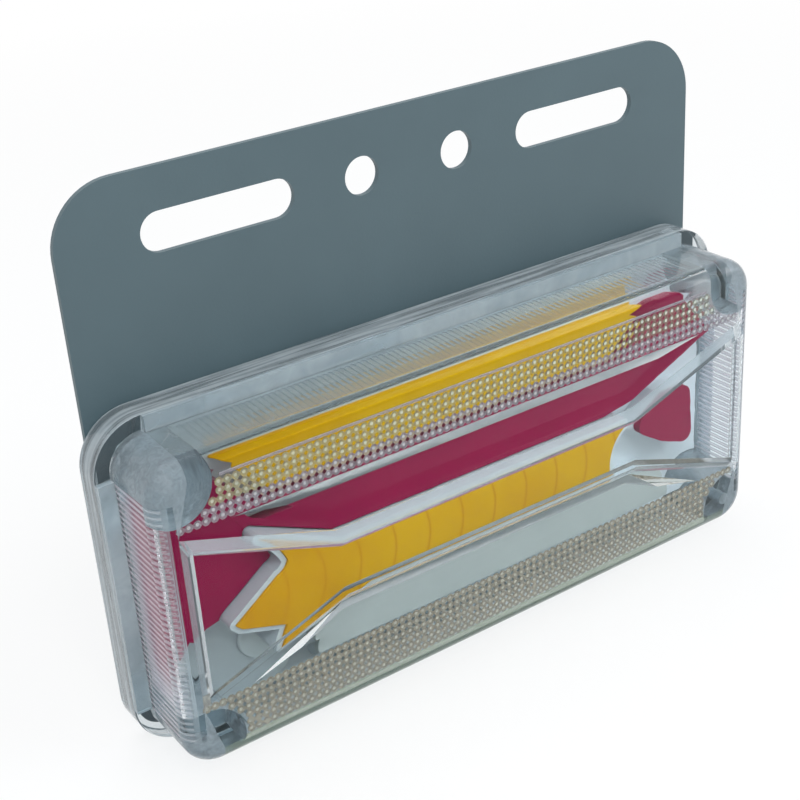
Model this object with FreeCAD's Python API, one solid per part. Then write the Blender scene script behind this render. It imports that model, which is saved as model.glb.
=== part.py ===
import FreeCAD, Part
import math
import os

os.makedirs("parts", exist_ok=True)

# Millimetres. +Z is up and the lamp faces -Y. The origin is midway along the line of mounting
# slots and holes, on the back face of the bracket. Depths are counted from that face, forwards.

# Mounting bracket: flat steel plate
PLATE_THICKNESS = 1.2
PLATE_SIDE_SET_IN = 2.25       # the plate ends this much inside the lamp's sides
PLATE_BOTTOM_SET_IN = 2.5      # and above its lower side
PLATE_TOP_MARGIN = 12.5        # from the hole line up to the plate's top edge
PLATE_TOP_RADIUS = 12.9
PLATE_BOTTOM_RADIUS = 6.0
SLOT_SPACING = 88.0
SLOT_LENGTH = 33.0
SLOT_WIDTH = 8.0
HOLE_SPACING = 23.5
HOLE_DIAMETER = 8.0

# Lamp body, centred below the hole line
LAMP_DROP = 68.0               # from the hole line down to the lamp's centre
HOUSING_WIDTH = 159.5
HOUSING_HEIGHT = 74.0
HOUSING_RADIUS = 11.0
HOUSING_DEPTH = 6.8
HOUSING_FLOOR = 1.8
HOUSING_RIM = 7.4              # width of the rim round the housing's pocket

LENS_SET_IN = 3.25             # from the housing's edge to the lens wall
LENS_RADIUS = 7.4
LENS_DEPTH = 17.2              # from the housing's rim to the lens face
LENS_WALL = 2.0
LENS_EDGE_RADIUS = 4.0         # rounding of the face's outer edge
TAB_THICKNESS = 1.5            # flange tabs that close the step along the straight sides
POST_INSET = 5.0               # screw post's centre, in from the lens sides
POST_RADIUS = 8.0

# Flutes moulded into the lens walls
FLUTE_PITCH = 1.35
FLUTE_HEIGHT = 0.45            # at the open side; the flutes run out towards the face
FLUTE_POST_GAP = 0.6           # smooth wall beside each post

# Raised bow-tie on the lens face, and beside it the two bar facets, which stand inwards from the
# inside of the face; all with sloping sides
BOW_RISE = 2.0
BOW_SLOPE_INSET = 2.3
BOW_END_SHARE = 0.35           # at its ends the slopes are steeper: this share of the inset
BOW_END_GAP = 4.2              # from the lens sides to the bow-tie's ends
BOW_POST_GAP = 1.75            # from the posts to the bow-tie's corners, in height
BOW_FLARE_LENGTH = 33.3        # from each end to the straight waist
BOW_WAIST_HALF_HEIGHT = 8.2
FACET_RISE = 1.6
FACET_SLOPE_INSET = 2.6
FACET_GAP = 1.0                # between the bow-tie's waist and a facet
FACET_HEIGHT = 9.8
FACET_TIP_LENGTH = 21.5        # the tips reach this far past the bow-tie's waist
BOW_POCKET_INSET = 1.2         # from the bow-tie's outline to its hollow at the inside of the face
BOW_POCKET_OVERLAP = 0.5       # the bow-tie's hollow starts this far behind the inside of the face

# Gasket in a groove of the housing's rim, under the lens wall
SEAL_WIDTH = 1.5
SEAL_HEIGHT = 1.4
SEAL_SIDE_GAP = 0.05

# Corner screws, driven from behind into the lens posts
CORNER_SCREW_DIAMETER = 2.9
CORNER_SCREW_BITE = 11.5       # length in the lens post
CORNER_HEAD_DIAMETER = 5.6
CORNER_HEAD_HEIGHT = 1.9
HEAD_CHAMFER = 0.7
PILOT_EXTRA = 0.8              # blind hole past the screw's tip
SCREW_CLEARANCE = 0.25         # round a screw's shank in plate and housing
THREAD_CLEARANCE = 0.02        # round a screw's shank in the plastic that it bites

# Circuit board, held between four square pillars of the housing and the tray's feet above them
PILLAR_SIZE = 4.6
PILLAR_HEIGHT = 1.0
PILLAR_END_INSET = 14.35       # pillar's centre, in from the pocket's ends
PILLAR_SIDE_INSET = 5.1        # and from its long sides
BOARD_THICKNESS = 1.2
BOARD_EDGE_GAP = 0.8           # between the board and the pocket's wall
BOARD_POST_GAP = 0.9           # between the board's cut corners and the posts

# Reflector tray: moulded sheet seated on the rim, with hollow light boxes that carry the caps
TRAY_THICKNESS = 1.2
TRAY_GAP = 0.6                 # between the tray and the lens wall's flutes
TRAY_POST_GAP = 0.3
BOX_WALL = 1.2                 # light boxes, and the skirts of the two covers

# Coloured caps. The red cover and the amber strip stand on the tray by their own skirts, the other
# low caps lie on light boxes, and the amber bar sits in the rim of a taller box
CAP_THICKNESS = 2.0
CAP_GAP = 0.3                  # from a low cap to the amber bar's box
CAP_SIDE_GAP = 0.9             # from the red cover's left end to the tray's edge
CAP_POST_GAP = 1.5             # from the red cover's corners to the posts
LOW_BOX_HEIGHT = 4.2           # tray's front to the back of the low caps
BAR_BOX_HEIGHT = 8.4           # tray's front to the back of the amber bar
BAR_RIM_WALL = 1.2
BAR_RIM_DROP = 0.6             # the rim ends this much behind the amber bar's face
BAR_FIT = 0.05                 # round the amber bar in its rim

# Amber bar: straight middle with a fish-tail at its left end
BAR_START = 38.4               # from the tray's left end to the straight middle
BAR_TIP_GAP = 9.0              # from its right end to the right shield's tip
BAR_TOP = 1.0
BAR_BOTTOM = -9.6
HORN_REACH = 18.2              # upper point of the fish-tail, beyond the straight middle
HORN_RISE = 8.1
MOUTH_REACH = 12.5             # deepest place of the tail's mouth, beyond the straight middle
MOUTH_RISE = 1.4
MOUTH_ROUND = 2.6
FIN_REACH = 25.4               # blunt lower fin of the fish-tail
FIN_DROP = 8.5                 # below the bar's top
FIN_WIDTH = 1.1
TAIL_REACH = 16.5              # thin tail under the fin
TAIL_DROP = 7.0
TAIL_LEAD = 5.5                # the tail's lower side joins the bar this far along it
CROTCH_REACH = 14.3            # inner corner between the fin and the tail
CROTCH_DROP = 2.3              # below the bar's bottom
END_HOLLOW = 3.2               # the right end's hollow curve

# Amber strip along the top, red bar between strip and amber bar, white bar along the bottom
STRIP_EDGE_GAP = 5.15          # from the tray's upper side to the strip
STRIP_BOTTOM = 16.8
STRIP_START = 16.4             # from the tray's left end to the strip's upper corner
STRIP_END = 23.4               # and from its right end
STRIP_LEFT_SLANT = 9.3         # the ends spread by this much from bottom to top
STRIP_RIGHT_SLANT = 10.7
STRIP_FLANGE_WIDTH = 2.0       # flange along the foot of the strip's skirt, on its upper side
STRIP_FLANGE_THICKNESS = 0.8
ROW_GAP = 2.8                  # between the strip and the red cover, in height
ROW_END_GAP = 2.6              # and between their slanting ends, along the lamp
RED_SHIELD_TAPER = 7.5         # the red cover's wide left end narrows by this much to its lower corner
RED_SHIELD_BOTTOM = -8.2
RED_SKIRT_BOTTOM = -12.8       # its lower left corner
RED_HORN_DROP = 2.8            # its horn beside the strip stops this far below the strip's top
RED_END_DROP = 0.6             # and its raised right end this far
RED_END_LIFT = 1.3             # the lower side rises by this to the right shield
RED_END_STEP = 4.0             # the raised end steps in by this beside the post
SHIELD_END_GAP = 7.1           # from the tray's right end to the right shield's blunt end
SHIELD_LENGTH = 19.6
SHIELD_TIP = -4.2
SHIELD_TOP = 2.4
SHIELD_BOTTOM = -13.9
SHIELD_BROW_DROP = 0.5         # the middle of its upper side lies this low
SHIELD_BELLY = 1.3             # the middle of its lower side bulges by this
SHIELD_END_LEAN = 1.3          # its blunt end leans by this
SHIELD_ROUND = 2.6
WHITE_BAR_START = 31.9         # from the tray's left end
WHITE_BAR_END = 16.9           # from its right end
WHITE_BAR_WIDTH = 8.2
WHITE_BAR_EDGE_GAP = 6.75      # from the tray's lower side to the white bar

# Lamps and driver parts on the board
LED_LENGTH = 3.5
LED_WIDTH = 2.8
LED_HEIGHT = 1.0
LED_COUNT = 9                  # in each long row
LED_END_GAP = 3.85             # from the amber bar's straight ends to the rows' outer lamps
SHIELD_LED_INSET = 13.9        # lamps under the shields, in from the tray's ends
CHIP_LENGTH = 3.2
CHIP_WIDTH = 1.6
CHIP_HEIGHT = 0.6
DRIVER_ROW_DROP = 13.0         # driver parts' row below the lamp's centre
DRIVER_END_INSET = 21.55       # regulator and capacitor, in from the board's ends
RESISTOR_COUNT = 6
RESISTOR_PITCH = 5.0
RESISTOR_START = 7.0           # from the regulator to the first of the row
DIODE_COUNT = 3
DIODE_LENGTH = 4.3
DIODE_WIDTH = 2.6
DIODE_HEIGHT = 1.9
DIODE_PITCH = 7.0
DIODE_START = 9.0              # from the capacitor to the first of the row
REGULATOR_SIZE = 5.0
REGULATOR_HEIGHT = 1.5
CAPACITOR_LENGTH = 6.0
CAPACITOR_WIDTH = 3.2
CAPACITOR_HEIGHT = 2.3
TERMINAL_SIZE = 1.1            # square pins
TERMINAL_HEIGHT = 2.0
TERMINAL_GAP = 2.0             # from the wire hole's edge to the pins' middle
TERMINAL_PITCH = 3.0

# Rubber cable gland through plate and housing floor
GLAND_BORE = 5.0
GLAND_NECK = 9.0
GLAND_FLANGE = 14.0
GLAND_BACK_LENGTH = 2.4
GLAND_LIP = 0.8                # stands into the pocket past the housing's floor
GLAND_DROP = 13.0              # below the lamp's centre
GLAND_CLEARANCE = 0.1
WIRE_HOLE = 7.0                # in the board behind the gland, for the lead's cores

# Depths and places that follow from the sizes above
HOUSING_BACK = PLATE_THICKNESS
RIM_FACE = HOUSING_BACK + HOUSING_DEPTH
POCKET_BACK = HOUSING_BACK + HOUSING_FLOOR
LENS_FACE = RIM_FACE + LENS_DEPTH
LENS_INSIDE = LENS_FACE - LENS_WALL
BOW_FACE = LENS_FACE + BOW_RISE
BOW_INSIDE = BOW_FACE - LENS_WALL
BOARD_BACK = POCKET_BACK + PILLAR_HEIGHT
BOARD_FRONT = BOARD_BACK + BOARD_THICKNESS
TRAY_BACK = RIM_FACE
TRAY_FRONT = TRAY_BACK + TRAY_THICKNESS
LOW_CAP_BACK = TRAY_FRONT + LOW_BOX_HEIGHT
BAR_CAP_BACK = TRAY_FRONT + BAR_BOX_HEIGHT
BAR_RIM_FRONT = BAR_CAP_BACK + CAP_THICKNESS - BAR_RIM_DROP
LAMP_Z = -LAMP_DROP
PLATE_WIDTH = HOUSING_WIDTH - 2 * PLATE_SIDE_SET_IN
PLATE_HEIGHT = PLATE_TOP_MARGIN + LAMP_DROP + HOUSING_HEIGHT / 2 - PLATE_BOTTOM_SET_IN
LENS_WIDTH = HOUSING_WIDTH - 2 * LENS_SET_IN
LENS_HEIGHT = HOUSING_HEIGHT - 2 * LENS_SET_IN
POCKET_WIDTH = HOUSING_WIDTH - 2 * HOUSING_RIM
POCKET_HEIGHT = HOUSING_HEIGHT - 2 * HOUSING_RIM
POCKET_RADIUS = HOUSING_RADIUS - HOUSING_RIM
TRAY_HALF_WIDTH = LENS_WIDTH / 2 - LENS_WALL - TRAY_GAP
TRAY_HALF_HEIGHT = LENS_HEIGHT / 2 - LENS_WALL - TRAY_GAP
POST_X = LENS_WIDTH / 2 - POST_INSET
POST_Z = LENS_HEIGHT / 2 - POST_INSET
POST_PLACES = [(sx * POST_X, sz * POST_Z) for sx in (-1, 1) for sz in (-1, 1)]
BOARD_HALF_WIDTH = POCKET_WIDTH / 2 - BOARD_EDGE_GAP
BOARD_HALF_HEIGHT = POCKET_HEIGHT / 2 - BOARD_EDGE_GAP
PILLAR_X = POCKET_WIDTH / 2 - PILLAR_END_INSET
PILLAR_Z = POCKET_HEIGHT / 2 - PILLAR_SIDE_INSET
PILLAR_PLACES = [(sx * PILLAR_X, sz * PILLAR_Z) for sx in (-1, 1) for sz in (-1, 1)]
SCREW_TIP = RIM_FACE + CORNER_SCREW_BITE
BOW_HALF_LENGTH = LENS_WIDTH / 2 - BOW_END_GAP
BOW_END_HALF_HEIGHT = POST_Z - POST_RADIUS - BOW_POST_GAP
BOW_WAIST_HALF_LENGTH = BOW_HALF_LENGTH - BOW_FLARE_LENGTH
SHIELD_RIGHT = TRAY_HALF_WIDTH - SHIELD_END_GAP
SHIELD_LEFT = SHIELD_RIGHT - SHIELD_LENGTH
BAR_LEFT = BAR_START - TRAY_HALF_WIDTH
BAR_RIGHT = SHIELD_LEFT - BAR_TIP_GAP
STRIP_TOP = TRAY_HALF_HEIGHT - STRIP_EDGE_GAP
STRIP_LEFT = STRIP_START + STRIP_LEFT_SLANT - TRAY_HALF_WIDTH
STRIP_RIGHT = TRAY_HALF_WIDTH - STRIP_END - STRIP_RIGHT_SLANT
RED_TOP = STRIP_BOTTOM - ROW_GAP
RED_BOTTOM = BAR_TOP + BAR_RIM_WALL + CAP_GAP
RED_END_TOP = STRIP_TOP - RED_END_DROP
WHITE_BAR_Z = WHITE_BAR_EDGE_GAP + WHITE_BAR_WIDTH / 2 - TRAY_HALF_HEIGHT
LED_ROW_LENGTH = BAR_RIGHT - BAR_LEFT - 2 * LED_END_GAP
LED_PITCH = LED_ROW_LENGTH / (LED_COUNT - 1)
LED_ROW_MIDDLE = (BAR_LEFT + BAR_RIGHT) / 2
SHIELD_LED_X = TRAY_HALF_WIDTH - SHIELD_LED_INSET
REGULATOR_X = DRIVER_END_INSET - BOARD_HALF_WIDTH
CAPACITOR_X = BOARD_HALF_WIDTH - DRIVER_END_INSET


def point(x, z, depth):
    """A place across and above the lamp's centre, at a depth in front of the bracket's back."""
    return FreeCAD.Vector(x, -depth, LAMP_Z + z)


def prism(wire, thickness):
    """A wire that lies at one depth, filled and extended forwards."""
    return Part.Face(wire).extrude(FreeCAD.Vector(0, -thickness, 0))


def rounded_wire(width, height, radius, depth):
    """Rounded rectangle round the lamp's centre."""
    half_w = width / 2
    half_h = height / 2
    edges = []
    corners = [(1, 1), (-1, 1), (-1, -1), (1, -1)]
    ends = []
    for sx, sz in corners:
        cx = sx * (half_w - radius)
        cz = sz * (half_h - radius)
        middle = radius * math.sqrt(0.5)
        side = point(cx + sx * radius, cz, depth)
        top = point(cx, cz + sz * radius, depth)
        halfway = point(cx + sx * middle, cz + sz * middle, depth)
        first, last = (side, top) if sx * sz > 0 else (top, side)
        edges.append(Part.Arc(first, halfway, last).toShape())
        ends.append((first, last))
    for here, following in zip(ends, ends[1:] + ends[:1]):
        edges.append(Part.makeLine(here[1], following[0]))
    return Part.Wire(Part.__sortEdges__(edges))


def rounded_prism(width, height, radius, back, front):
    return prism(rounded_wire(width, height, radius, back), front - back)


def polygon_prism(corners, back, front):
    """Straight-sided outline, given as places across and above the lamp's centre."""
    points = [point(x, z, back) for x, z in corners]
    return prism(Part.makePolygon(points + points[:1]), front - back)


def rod(x, z, diameter, back, front):
    return Part.makeCylinder(diameter / 2, front - back, point(x, z, back), FreeCAD.Vector(0, -1, 0))


def block(x, z, width, height, back, front):
    corner = point(x - width / 2, z - height / 2, front)
    return Part.makeBox(width, front - back, height, corner)


def cut_all(body, tools):
    return body.cut(Part.makeCompound(tools))


def round_along_depth(body, radius, chosen):
    """Rounds the edges that run in the depth direction and whose place passes the test."""
    edges = []
    for edge in body.Edges:
        start, end = edge.Vertexes[0].Point, edge.Vertexes[-1].Point
        straight = abs(start.x - end.x) < 1e-6 and abs(start.z - end.z) < 1e-6
        if straight and abs(start.y - end.y) > 1e-6 and chosen(start.x, start.z - LAMP_Z):
            edges.append(edge)
    return body.makeFillet(radius, edges)


def edges_at(body, depth):
    """Edges that lie wholly at one depth."""
    found = []
    for edge in body.Edges:
        box = edge.BoundBox
        if abs(box.YMin + depth) < 1e-5 and abs(box.YMax + depth) < 1e-5:
            found.append(edge)
    return found


def save(name, solids):
    if not isinstance(solids, list):
        solids = [solids]
    loose = [piece for shape in solids for piece in shape.Solids]
    shape = loose[0] if len(loose) == 1 else Part.makeCompound(loose)
    shape.exportStep("parts/" + name + ".step")
    state = "valid" if shape.isValid() else "INVALID"
    print(name, len(loose), "solid(s)", "volume %.1f" % shape.Volume, state)


# Outlines shared by the pieces

def stadium_wire(x, z, length, width, depth):
    """Slot shape: a bar with half-round ends."""
    half = (length - width) / 2
    r = width / 2
    a, b = point(x - half, z + r, depth), point(x + half, z + r, depth)
    c, d = point(x + half, z - r, depth), point(x - half, z - r, depth)
    right = Part.Arc(b, point(x + half + r, z, depth), c).toShape()
    left = Part.Arc(d, point(x - half - r, z, depth), a).toShape()
    return Part.Wire([Part.makeLine(a, b), right, Part.makeLine(c, d), left])


def bow_corners(inset, margin=0.0):
    """Bow-tie outline, drawn in by a margin on every side and by its slope's inset."""
    waist = BOW_WAIST_HALF_HEIGHT - margin - inset
    end = BOW_END_HALF_HEIGHT - margin - inset
    length = BOW_HALF_LENGTH - margin - BOW_END_SHARE * inset
    upper = [(-length, end), (-BOW_WAIST_HALF_LENGTH, waist)]
    upper += [(-x, z) for x, z in reversed(upper)]
    return upper + [(x, -z) for x, z in reversed(upper)]


def facet_corners(side, inset):
    """Long bar facet above (+1) or below (-1) the bow-tie: a trapezoid whose ends slant away from
    the bow-tie's waist to pointed tips, drawn in by an inset on every side."""
    inner = BOW_WAIST_HALF_HEIGHT + FACET_GAP
    slant = math.atan2(FACET_HEIGHT, FACET_TIP_LENGTH)
    end_shift = inset / math.sin(slant)
    level_shift = inset / math.tan(slant)
    root = (BOW_WAIST_HALF_LENGTH - end_shift + level_shift, inner + inset)
    tip = (BOW_WAIST_HALF_LENGTH + FACET_TIP_LENGTH - end_shift - level_shift, inner + FACET_HEIGHT - inset)
    corners = [root, tip, (-tip[0], tip[1]), (-root[0], root[1])]
    return [(x, side * z) for x, z in corners]


def corner_wire(corners, depth):
    points = [point(x, z, depth) for x, z in corners]
    return Part.makePolygon(points + points[:1])


def raised(corners_at, slope_inset, base, crest):
    """Raised form with sloping sides, from its outline at one depth to the inset one at the other."""
    low = [point(x, z, base) for x, z in corners_at(0)]
    high = [point(x, z, crest) for x, z in corners_at(slope_inset)]
    faces = [Part.Face(corner_wire(corners_at(0), base))]
    faces.append(Part.Face(corner_wire(corners_at(slope_inset), crest)))
    for i in range(len(low)):
        before = i - 1
        for corners in ((low[before], low[i], high[i]), (low[before], high[i], high[before])):
            faces.append(Part.Face(Part.makePolygon(corners + corners[:1])))
    solid = Part.Solid(Part.Shell(faces))
    solid = solid if solid.Volume > 0 else solid.reversed()
    return solid.removeSplitter()


# Cap outlines: a start and a path of straight lines and arcs, each arc given by a place on it

def bar_outline():
    """Amber bar: the mouth of its fish-tail goes round the shield, and its right end is hollowed."""
    horn = (BAR_LEFT - HORN_REACH, BAR_TOP + HORN_RISE)
    mouth = (BAR_LEFT - MOUTH_REACH, BAR_TOP + MOUTH_RISE)
    fin = (BAR_LEFT - FIN_REACH, BAR_TOP - FIN_DROP)
    tail = (BAR_LEFT - TAIL_REACH, BAR_BOTTOM - TAIL_DROP)
    crotch = (BAR_LEFT - CROTCH_REACH, BAR_BOTTOM - CROTCH_DROP)
    bend = MOUTH_ROUND / 2
    mouth_end = (mouth[0] - MOUTH_ROUND, mouth[1] - MOUTH_ROUND)
    return {"start": (BAR_LEFT, BAR_TOP),
            "path": [("line", horn),
                     ("arc", (mouth[0] - bend, mouth[1] + MOUTH_ROUND), mouth),
                     ("arc", (mouth[0] - bend / 2, mouth[1] - bend), mouth_end),
                     ("line", fin),
                     ("line", (fin[0] + FIN_WIDTH, fin[1] - FIN_WIDTH)),
                     ("line", crotch),
                     ("line", tail),
                     ("line", (BAR_LEFT + TAIL_LEAD, BAR_BOTTOM)),
                     ("line", (BAR_RIGHT - END_HOLLOW / 2, BAR_BOTTOM)),
                     ("arc", (BAR_RIGHT, BAR_TOP - END_HOLLOW), (BAR_RIGHT + END_HOLLOW, BAR_TOP))]}


def strip_outline():
    """Amber strip: long shape with slanting ends, under the upper bead band."""
    return {"start": (STRIP_LEFT, STRIP_BOTTOM),
            "path": [("line", (STRIP_RIGHT, STRIP_BOTTOM)),
                     ("line", (STRIP_RIGHT + STRIP_RIGHT_SLANT, STRIP_TOP)),
                     ("line", (STRIP_LEFT - STRIP_LEFT_SLANT, STRIP_TOP))]}


def red_bar_outline():
    """Red cover: wide shield at its left end with a horn beside the strip, and a raised right end.
    The amber bar's box, which runs through its lower side, is cut away from it."""
    left = CAP_SIDE_GAP - TRAY_HALF_WIDTH
    shoulder_x = POST_RADIUS + CAP_POST_GAP - POST_X
    shoulder_z = POST_Z - POST_RADIUS
    left_slant = STRIP_LEFT_SLANT / (STRIP_TOP - STRIP_BOTTOM)
    right_slant = STRIP_RIGHT_SLANT / (STRIP_TOP - STRIP_BOTTOM)
    horn_left = STRIP_LEFT - ROW_END_GAP
    horn_top = STRIP_TOP - RED_HORN_DROP
    end_left = STRIP_RIGHT + ROW_END_GAP
    middle = (BAR_TOP + BAR_BOTTOM) / 2
    mouth_x = BAR_LEFT - MOUTH_REACH
    return {"start": (left, shoulder_z - CAP_POST_GAP),
            "path": [("line", (left, RED_SKIRT_BOTTOM)),
                     ("line", (left + RED_SHIELD_TAPER, RED_SHIELD_BOTTOM)),
                     ("line", (mouth_x, middle)),
                     ("line", (BAR_RIGHT, middle)),
                     ("line", (BAR_RIGHT, RED_BOTTOM)),
                     ("line", (SHIELD_LEFT, RED_BOTTOM + RED_END_LIFT)),
                     ("line", (-left - CAP_POST_GAP, RED_TOP)),
                     ("line", (RED_END_STEP - shoulder_x, shoulder_z)),
                     ("line", (-shoulder_x, RED_END_TOP)),
                     ("line", (end_left + right_slant * (RED_END_TOP - RED_TOP), RED_END_TOP)),
                     ("line", (end_left, RED_TOP)),
                     ("line", (horn_left, RED_TOP)),
                     ("line", (horn_left - left_slant * (horn_top - RED_TOP), horn_top)),
                     ("line", (shoulder_x, horn_top)),
                     ("line", (shoulder_x, shoulder_z))]}


def shield_outline():
    """Right shield: pointed towards the amber bar, blunt towards the end."""
    middle = (SHIELD_LEFT + SHIELD_RIGHT) / 2
    return {"start": (SHIELD_LEFT, SHIELD_TIP),
            "path": [("line", (middle, SHIELD_TOP - SHIELD_BROW_DROP)),
                     ("line", (SHIELD_RIGHT - SHIELD_END_LEAN, SHIELD_TOP)),
                     ("line", (SHIELD_RIGHT, SHIELD_BOTTOM)),
                     ("line", (middle, (SHIELD_TIP + SHIELD_BOTTOM) / 2 - SHIELD_BELLY))]}


def outline_wire(outline, depth):
    here = outline["start"]
    edges = []
    for step in outline["path"]:
        there = step[-1]
        if step[0] == "line":
            edge = Part.makeLine(point(*here, depth), point(*there, depth))
        else:
            edge = Part.Arc(point(*here, depth), point(*step[1], depth), point(*there, depth)).toShape()
        edges.append(edge)
        here = there
    edges.append(Part.makeLine(point(*here, depth), point(*outline["start"], depth)))
    return Part.Wire(edges)


def white_wire(depth):
    left = WHITE_BAR_START - TRAY_HALF_WIDTH
    right = TRAY_HALF_WIDTH - WHITE_BAR_END
    return stadium_wire((left + right) / 2, WHITE_BAR_Z, right - left, WHITE_BAR_WIDTH, depth)


def grown(wire, amount):
    """The wire's face, larger on all sides by the amount, or smaller where it is negative."""
    if amount == 0:
        return Part.Face(wire)
    round_corners = 0
    return Part.Face(wire.makeOffset2D(amount, round_corners, False, False, False))


# 1. Bracket

def mounting_bracket():
    bottom = PLATE_TOP_MARGIN - PLATE_HEIGHT
    plate = Part.makeBox(PLATE_WIDTH, PLATE_THICKNESS, PLATE_HEIGHT,
                         FreeCAD.Vector(-PLATE_WIDTH / 2, -PLATE_THICKNESS, bottom))
    plate = round_along_depth(plate, PLATE_TOP_RADIUS, lambda x, z: z > LAMP_DROP)
    plate = round_along_depth(plate, PLATE_BOTTOM_RADIUS, lambda x, z: z < 0)
    through = (-PLATE_THICKNESS, 2 * PLATE_THICKNESS)
    tools = []
    for side in (-1, 1):
        slot = stadium_wire(side * SLOT_SPACING / 2, LAMP_DROP, SLOT_LENGTH, SLOT_WIDTH, through[0])
        tools.append(prism(slot, through[1] - through[0]))
        tools.append(rod(side * HOLE_SPACING / 2, LAMP_DROP, HOLE_DIAMETER, *through))
    for x, z in POST_PLACES:
        tools.append(rod(x, z, CORNER_SCREW_DIAMETER + 2 * SCREW_CLEARANCE, *through))
    tools.append(rod(0, -GLAND_DROP, GLAND_NECK + 2 * GLAND_CLEARANCE, *through))
    return cut_all(plate, tools)


# 2. Clear back tray, with a groove for the gasket and pillars for the board

def ring_under_wall(side_gap, back, front):
    """Ring that runs round under the middle of the lens wall."""
    rings = []
    half_width = SEAL_WIDTH / 2 + side_gap
    for inset in (LENS_WALL / 2 - half_width, LENS_WALL / 2 + half_width):
        rings.append(rounded_prism(LENS_WIDTH - 2 * inset, LENS_HEIGHT - 2 * inset,
                                   LENS_RADIUS - inset, back, front))
    return rings[0].cut(rings[1])


def rear_housing():
    body = rounded_prism(HOUSING_WIDTH, HOUSING_HEIGHT, HOUSING_RADIUS, HOUSING_BACK, RIM_FACE)
    open_front = RIM_FACE + HOUSING_DEPTH
    pocket = rounded_prism(POCKET_WIDTH, POCKET_HEIGHT, POCKET_RADIUS, POCKET_BACK, open_front)
    kept = [rod(x, z, 2 * POST_RADIUS, POCKET_BACK, open_front) for x, z in POST_PLACES]
    kept += [block(x, z, PILLAR_SIZE, PILLAR_SIZE, POCKET_BACK, BOARD_BACK) for x, z in PILLAR_PLACES]
    tools = [cut_all(pocket, kept), ring_under_wall(SEAL_SIDE_GAP, RIM_FACE - SEAL_HEIGHT, open_front)]
    for x, z in POST_PLACES:
        tools.append(rod(x, z, CORNER_SCREW_DIAMETER + 2 * SCREW_CLEARANCE, 0, open_front))
    tools.append(rod(0, -GLAND_DROP, GLAND_NECK + 2 * GLAND_CLEARANCE, 0, POCKET_BACK))
    for tool in tools:
        body = body.cut(tool)
    return body


def seal_ring():
    return ring_under_wall(0, RIM_FACE - SEAL_HEIGHT, RIM_FACE)


# 3. Clear lens cover, the moulding that takes the most skill

def flute_row(count, wall, side, upright):
    """Row of vee flutes in the inside of one lens wall. They lean out of the wall, so that they run
    out where the face's rounding starts. The wall is above (+1) or below (-1) the centre, or
    upright to the right (+1) or left (-1) of it."""
    start = -count * FLUTE_PITCH / 2
    root = side * (wall - 2 * FLUTE_HEIGHT)
    crest = side * (wall + FLUTE_HEIGHT)
    profile = [(start, root)]
    for i in range(count):
        profile.append((start + i * FLUTE_PITCH, side * wall))
        profile.append((start + (i + 0.5) * FLUTE_PITCH, crest))
    profile += [(-start, side * wall), (-start, root)]
    lean = FreeCAD.Vector(0, 0, -side * FLUTE_HEIGHT)
    if upright:
        profile = [(place, along) for along, place in profile]
        lean = FreeCAD.Vector(-side * FLUTE_HEIGHT, 0, 0)
    back = RIM_FACE + TAB_THICKNESS
    front = LENS_INSIDE - (LENS_EDGE_RADIUS - LENS_WALL)
    points = [point(x, z, back) for x, z in profile]
    flutes = Part.Face(Part.makePolygon(points + points[:1]))
    return flutes.extrude(FreeCAD.Vector(0, back - front, 0) + lean)


def lens_cavity():
    width = LENS_WIDTH - 2 * LENS_WALL
    height = LENS_HEIGHT - 2 * LENS_WALL
    open_back = RIM_FACE - LENS_WALL
    cavity = rounded_prism(width, height, LENS_RADIUS - LENS_WALL, open_back, LENS_INSIDE)
    cavity = cavity.makeFillet(LENS_EDGE_RADIUS - LENS_WALL, edges_at(cavity, LENS_INSIDE))
    fluted_x = POST_X - POST_RADIUS - FLUTE_POST_GAP
    fluted_z = POST_Z - POST_RADIUS - FLUTE_POST_GAP
    for side in (-1, 1):
        cavity = cavity.fuse(flute_row(int(2 * fluted_x / FLUTE_PITCH), height / 2, side, False))
        cavity = cavity.fuse(flute_row(int(2 * fluted_z / FLUTE_PITCH), width / 2, side, True))
    bow = raised(lambda inset: bow_corners(inset, BOW_POCKET_INSET), BOW_SLOPE_INSET,
                 LENS_INSIDE - BOW_POCKET_OVERLAP, BOW_INSIDE)
    cavity = cavity.fuse(bow)
    posts = [rod(x, z, 2 * POST_RADIUS, open_back, BOW_FACE) for x, z in POST_PLACES]
    return cut_all(cavity, posts)


def lens_cover():
    shell = rounded_prism(LENS_WIDTH, LENS_HEIGHT, LENS_RADIUS, RIM_FACE, LENS_FACE)
    shell = shell.makeFillet(LENS_EDGE_RADIUS, edges_at(shell, LENS_FACE))
    tab_front = RIM_FACE + TAB_THICKNESS
    straight_width = HOUSING_WIDTH - 2 * HOUSING_RADIUS
    straight_height = HOUSING_HEIGHT - 2 * HOUSING_RADIUS
    shell = shell.fuse(block(0, 0, straight_width, HOUSING_HEIGHT, RIM_FACE, tab_front))
    shell = shell.fuse(block(0, 0, HOUSING_WIDTH, straight_height, RIM_FACE, tab_front))
    shell = shell.fuse(raised(bow_corners, BOW_SLOPE_INSET, LENS_FACE, BOW_FACE))
    shell = shell.cut(lens_cavity())
    for side in (-1, 1):
        shell = shell.fuse(raised(lambda inset: facet_corners(side, inset), FACET_SLOPE_INSET,
                                  LENS_INSIDE, LENS_INSIDE - FACET_RISE))
    pilot = CORNER_SCREW_DIAMETER + 2 * THREAD_CLEARANCE
    holes = [rod(x, z, pilot, HOUSING_BACK, SCREW_TIP + PILOT_EXTRA) for x, z in POST_PLACES]
    return cut_all(shell, holes)


# 4. Reflector tray with light boxes, and the caps on them

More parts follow.
